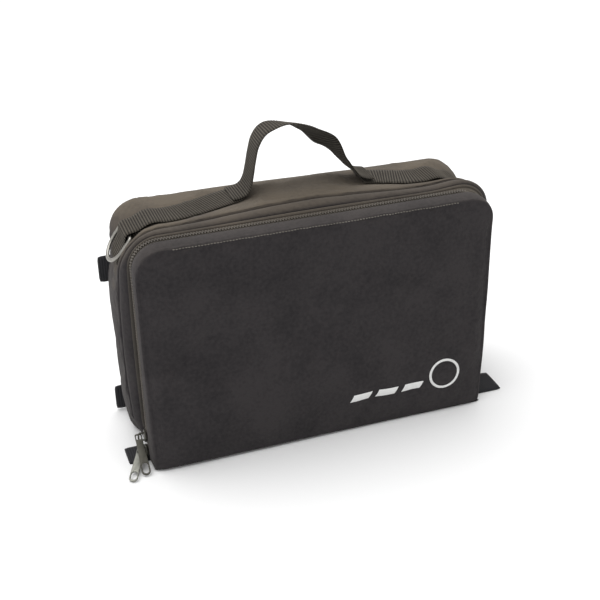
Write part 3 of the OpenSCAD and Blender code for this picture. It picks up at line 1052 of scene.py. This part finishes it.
def make_handle():
    """The carry handle: one strip of webbing that turns its inner face forward past its top."""
    left_foot = [(-68.0, 258.4), (-60.0, 259.2), (-52.0, 262.5), (-47.5, 270.0)]
    left_leg = [(-44.5, 282.0), (-41.5, 297.0), (-37.0, 312.5)]
    arch = [(-28.0, 323.8), (-13.0, 328.0), (4.5, 325.2), (19.5, 318.2)]
    right_leg = [(33.0, 308.4), (44.5, 297.4), (54.0, 285.0), (61.5, 275.0)]
    right_foot = [(69.0, 266.0), (78.0, 260.5), (88.0, 258.2)]
    spine = left_foot + left_leg + arch + right_leg + right_foot
    x, z = resampled(curve_through(spine, 12), 620).T
    centre = xyz(x, STRAP_Y, z)
    turns = (-1, -5, -17, -22, -32, -9, -5, 0)
    twist = np.radians(knots(x, (-60, -25, 4, 20, 38, 56, 66, 74), turns))[:, None]
    run = unit(np.gradient(centre, axis=0))
    flat = np.tile([0.0, 1.0, 0.0], (len(x), 1))
    turned = flat * np.cos(twist) + np.cross(run, flat) * np.sin(twist)
    across, out = frames_along(centre, turned)
    piece = webbing("carry_handle", centre, across, out, np.full(len(x), WEB_W / 2), 1.8)
    add_dust_and_top_light(piece, 0.25)
    finish_piece(piece, WEBBING, "webbing", None, "handle")
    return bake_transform(piece)


def folded_tab(name, node, reach_from, reach_to, width, lie, shift=0.0, ahead=0.0):
    """Webbing folded back on itself: two layers with a round fold at the outer end.

    lie is "side" for a tab whose layers stand across the depth, or "floor" for one that lies flat.
    shift moves the tab along its own width, and ahead moves it towards the front.
    """
    low, high = (np.array(corner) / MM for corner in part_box(node))
    axis = 1 if lie == "side" else 2
    other = 3 - axis
    thick = (high[axis] - low[axis]) / 2
    web_t = 0.86 * thick
    gap = thick / 2
    inner, outer = abs(reach_from), abs(reach_to)
    start = outer - thick
    run_out = [(inner + (start - inner) * t, -gap) for t in np.linspace(0, 1, 10)]
    fold = arc(start, 0, gap, -90, 90, 10)
    run_back = [(along, gap) for along, _ in run_out[::-1]]
    along, off = resampled(np.vstack([run_out, fold[1:], run_back[1:]]), 110).T
    centre = np.zeros((len(along), 3))
    centre[:, 0] = along if reach_to > reach_from else -along
    centre[:, axis] = (high[axis] + low[axis]) / 2 + off
    centre[:, other] = (low[other] + high[other]) / 2 + shift
    centre[:, 1] -= ahead
    flat = np.zeros((len(along), 3))
    flat[:, other] = 1.0
    across, out = frames_along(centre, flat)
    taper = 1 - 0.06 * ramp(along, outer - 6, outer)
    piece = webbing(name, centre, across, out, taper * width / 2, web_t, ribs=0.07)
    return finish_piece(piece, DARK_WEB, "dark_webbing", "bag", node)


def make_tabs():
    for side, word in ((-1, "left"), (1, "right")):
        upper, lower = f"rear_tab_upper_{word}", f"rear_tab_lower_{word}"
        folded_tab(f"upper_tab_{word}", upper, side * 182, side * 206, 30, "side")
        folded_tab(f"lower_tab_{word}", lower, side * 184, side * 204, 29, "side", ahead=8.0)
    folded_tab("floor_tab_left", "zipper_tab_left", -176, -212, 30, "floor")
    folded_tab("floor_tab_right", "zipper_tab_right", 176, 222, 37, "floor", shift=2.0)


# ---- metal parts ----
def tube(name, path, radius, closed=False, sides=14, flat=1.0):
    """A round bar bent along a path. flat squeezes it square to the path's own plane."""
    path = np.asarray(path, float)
    run = np.roll(path, -1, axis=0) - np.roll(path, 1, axis=0)
    if not closed:
        run[0], run[-1] = path[1] - path[0], path[-1] - path[-2]
    run = unit(run)
    across = np.cross(run[0], run[len(path) // 4] + [0.013, 0.007, 0.003])
    angles = np.linspace(0, 2 * math.pi, sides + 1)[:-1]
    points = []
    for p, r in zip(path, run):
        across = across - (across @ r) * r
        across /= np.linalg.norm(across)
        other = np.cross(r, across)
        for a in angles:
            points.append(p + radius * (flat * across * math.cos(a) + other * math.sin(a)))
    faces = grid_faces(len(path), sides, wrap_rows=closed, wrap_columns=True)
    if not closed:
        faces += end_caps(len(path), sides)
    return new_piece(name, points, faces)


def make_ring(side, word):
    """A D ring whose straight bar lies in the strap's fold and whose bow hangs outward."""
    bow = arc(0, -RING_ARM, RING_HALF, 180, 360, 40)
    bend_r = 2.6
    bend = RING_HALF - bend_r
    right = arc(bend, -bend_r, bend_r, 90, 0, 6)
    left = arc(-bend, -bend_r, bend_r, 180, 90, 6)
    loop = np.vstack([bow, right[::-1], left[::-1]])
    u, v = resampled(np.vstack([loop, loop[:1]]), 120)[:-1].T
    x = RING_X - v * math.sin(RING_LEAN)
    path = xyz(side * x, RING_Y + u, RING_Z + v * math.cos(RING_LEAN))
    piece = tube(f"{word}_ring_wire", path, RING_WIRE_R, closed=True, flat=0.85)
    return finish_piece(piece, RING_METAL, "ring_metal", f"{word}_ring", f"{word}_d_ring")


def parts_of(piece):
    """The points and faces of a temporary piece, which is removed."""
    points = np.array([np.array(v.co) / MM for v in piece.data.vertices])
    faces = [tuple(f.vertices) for f in piece.data.polygons]
    bpy.data.objects.remove(piece)
    return points, faces


def cut_plate(name, outer, holes, thickness, bevel):
    """A flat plate with holes and rounded edges, in its own plane, as points (u, v, height)."""
    data = bpy.data.curves.new(name, "CURVE")
    data.dimensions = "2D"
    data.fill_mode = "BOTH"
    data.extrude = (thickness / 2 - bevel) * MM
    data.bevel_depth = bevel * MM
    data.bevel_resolution = 3
    data.offset = -bevel * MM
    for line in [outer] + list(holes):
        spline = data.splines.new("POLY")
        spline.points.add(len(line) - 1)
        for point, (u, v) in zip(spline.points, line):
            point.co = (u * MM, v * MM, 0.0, 1.0)
        spline.use_cyclic_u = True
    holder = add_object(name + "_outline", data)
    solid = holder.evaluated_get(bpy.context.evaluated_depsgraph_get())
    plate = bpy.data.objects.new(name, bpy.data.meshes.new_from_object(solid))
    bpy.data.objects.remove(holder)
    return parts_of(plate)


def rounded(half_u, low_v, high_v, r, steps=8):
    """A rectangle with rounded corners, anticlockwise."""
    u, low, high = half_u - r, low_v + r, high_v - r
    corners = ((u, low, 270), (u, high, 0), (-u, high, 90), (-u, low, 180))
    return np.vstack([arc(cu, cv, r, a, a + 90, steps) for cu, cv, a in corners])


def joined(name, parts):
    """One piece from several (points, faces) parts."""
    faces, start = [], 0
    for points, part_faces in parts:
        faces += [tuple(i + start for i in f) for f in part_faces]
        start += len(points)
    return new_piece(name, np.vstack([points for points, _ in parts]), faces)


def make_slider(word, z):
    """A zipper slider: a domed face plate with its nose up, a side lip and a wire bail."""
    outer = [
        arc(0, -3.4, 3.6, 200, 340, 10),
        arc(3.2, 0.5, 2.4, -20, 60, 6),
        arc(2.2, 5.4, 1.9, 10, 90, 6),
        arc(-2.2, 5.4, 1.9, 90, 170, 6),
        arc(-3.2, 0.5, 2.4, 120, 200, 6),
    ]
    plate_t = 1.7
    points, faces = cut_plate("slider_plate", np.vstack(outer), [], plate_t, 0.5)
    u, v, h = points.T
    dome = 0.5 * (1 - np.clip((u / 6) ** 2 + (v / 8) ** 2, 0, 1))
    x = -PLATE_X - plate_t / 2 - h - np.where(h > 0, dome, 0)
    face = xyz(x, CHAIN_Y + u, z + v)
    lip_y = CHAIN_Y + 4.6
    low, high = (-PLATE_X - 0.3, lip_y, z - 4.4), (-189.4, lip_y + 0.9, z + 3.2)
    lip = parts_of(cushion_box("lip", low, high, 0.35))
    half, bend_r = 4.5, 1.3
    leg = [(-PLATE_X - 1.2, half), (-196.5, half + 0.2), (-BAIL_X + 1.2, half)]
    up = np.vstack([leg, arc(-BAIL_X + bend_r, half - bend_r, bend_r, 90, 180, 6)])
    line = np.vstack([up, up[::-1] * [1, -1]])
    x, rise = resampled(line, 48).T
    bail = parts_of(tube("bail", xyz(x, CHAIN_Y, z + rise), 0.9, sides=10))
    piece = joined(f"{word}_slider_body", [(face, faces), lip, bail])
    return finish_piece(piece, SLIDER_METAL, "slider_metal", f"{word}_slider", f"{word}_slider")


def make_pull(word, z, lean, yaw, material):
    """A cast pull: an eye on the bail, a tapering plate and an open loop at the end.

    lean swings it up from hanging straight down, and yaw turns it about the upright, in degrees.
    """
    length, end_r = 42.0, 4.7
    taper = np.array([(4.6, -30.0), (4.1, -16.0), (3.7, -6.0)])
    outer = [
        arc(0, -length + end_r, end_r, 180, 360, 18),
        taper,
        arc(1.9, 2.0, 1.9, 0, 90, 6),
        arc(-1.9, 2.0, 1.9, 90, 180, 6),
        taper[::-1] * [-1, 1],
    ]
    eye = rounded(2.6, -2.3, 2.3, 0.9)
    loop = rounded(3.2, -39.7, -28.6, 3.0, 10)
    points, faces = cut_plate("pull_plate", np.vstack(outer), [eye, loop], 1.8, 0.5)
    u, v, h = points.T
    waist = np.clip(1 - (u / 3.4) ** 2, 0, 1) * ramp(v, -27, -24) * ramp(-v, 4.5, 7.0)
    h = h * (1 - 0.35 * waist)
    tilt, turn = math.radians(-lean), math.radians(-yaw)
    y = h * math.cos(tilt) - v * math.sin(tilt)
    up = h * math.sin(tilt) + v * math.cos(tilt)
    x = u * math.cos(turn) - y * math.sin(turn)
    y = u * math.sin(turn) + y * math.cos(turn)
    piece = new_piece(f"{word}_pull_plate", xyz(x - BAIL_X, y + CHAIN_Y, up + z), faces)
    return finish_piece(piece, material, "slider_metal", f"{word}_pull", f"{word}_pull")


# ---- emblem ----
def stitched_patch(lid, x, z, wrap=False):
    """Raised thread that covers a grid of places on the lid's face."""
    rows, columns = x.shape
    x, z = x.ravel(), z.ravel()
    points = on_front_of(lid, xyz(x, lid_front(x, z), z))
    edge = np.sin(np.linspace(0, math.pi, rows)) ** 0.5
    points[:, 1] -= 0.1 + 0.75 * np.repeat(edge, columns)
    return points, grid_faces(rows, columns, wrap_columns=wrap)


def make_emblem(lid):
    """A generic embroidered mark on the lid: three slanted bars and a ring."""
    first_x, pitch, wide, tall, slant = 28, 30, 22, 8, 5
    v, u = np.meshgrid(np.linspace(0, 1, 9), np.linspace(0, 1, 24), indexing="ij")
    parts = []
    for i in range(3):
        x = first_x + pitch * i + wide * u + slant * v
        parts.append(stitched_patch(lid, x, 38 + tall * v))
    turns = np.linspace(0, 2 * math.pi, 97)[:-1]
    r, a = np.meshgrid(np.linspace(15.3, 18.2, 7), turns, indexing="ij")
    parts.append(stitched_patch(lid, 140 + r * np.cos(a), 50 + r * np.sin(a), wrap=True))
    piece = joined("lid_emblem_thread", parts)
    return finish_piece(piece, EMBROIDERY, "emblem_thread", "lid", "lid_emblem")


# ---- the object ----
shell = make_gusset()
rear = make_rear_panel()
gusset = make_zipper_gusset()
make_tapes()
lid = make_lid()
make_topstitch(lid)
make_teeth("rear_teeth", 1, "bag", "zipper_coil_rear")
make_teeth("front_teeth", -1, "lid", "zipper_coil_front")
make_linings()
make_floor_parts()
pocket, hem = make_pocket()
make_strap("strap_left_webbing", -1, foot_x=56.5, node="strap_left", shell=shell)
make_strap("strap_right_webbing", 1, foot_x=77.0, node="strap_right", shell=shell)
make_handle()
make_tabs()
make_ring(-1, "left")
make_ring(1, "right")
make_slider("upper", UPPER_SLIDER_Z)
make_slider("lower", LOWER_SLIDER_Z)
make_pull("upper", UPPER_SLIDER_Z, lean=50.5, yaw=0.0, material=SLIDER_METAL)
make_pull("lower", LOWER_SLIDER_Z, lean=79.0, yaw=23.5, material=BRIGHT_METAL)
make_emblem(lid)


# ---- floor, light and camera ----
def make_stage():
    mesh = bpy.data.meshes.new("floor")
    half = 6.0
    corners = [(-half, -half, 0), (half, -half, 0), (half, half, 0), (-half, half, 0)]
    mesh.from_pydata(corners, [], [(0, 1, 2, 3)])
    material, _, main = shader("floor_paper", 0.95, specular=0.1)
    main.inputs["Base Color"].default_value = (0.86, 0.86, 0.86, 1.0)
    mesh.materials.append(material)
    add_object("floor", mesh)


def add_light(name, place, size, watts):
    """A square lamp that faces the bag."""
    data = bpy.data.lights.new(name, "AREA")
    data.size = size
    data.energy = watts
    light = add_object(name, data)
    light.location = place
    aim = Vector((0.0, 0.0, 0.1)) - light.location
    light.rotation_euler = aim.to_track_quat("-Z", "Y").to_euler()


def make_lights():
    world = bpy.data.worlds.new("studio")
    world.use_nodes = True
    background = world.node_tree.nodes["Background"]
    background.inputs["Color"].default_value = (1, 1, 1, 1)
    background.inputs["Strength"].default_value = 0.7
    bpy.context.scene.world = world
    add_light("overhead", (-0.3, 0.5, 2.4), size=3.0, watts=74.0)
    add_light("left_fill", (-2.2, -0.6, 1.2), size=1.4, watts=7.0)


def make_camera():
    """The viewpoint: raised, and to the left of the bag's middle."""
    data = bpy.data.cameras.new("camera")
    data.lens = 72.0
    data.sensor_width = 36.0
    camera = add_object("camera", data)
    camera.location = (-0.3604, -1.0964, 0.7517)
    yaw, pitch, roll = math.radians(-18.17), math.radians(28.26), math.radians(1.46)
    level = math.cos(pitch)
    forward = Vector((-math.sin(yaw) * level, math.cos(yaw) * level, -math.sin(pitch)))
    camera.rotation_euler = forward.to_track_quat("-Z", "Y").to_matrix().to_euler()
    camera.rotation_euler.rotate_axis("Z", -roll)
    bpy.context.scene.camera = camera


make_stage()
make_lights()
make_camera()
bpy.context.scene.view_settings.view_transform = "Standard"

bpy.context.view_layer.update()
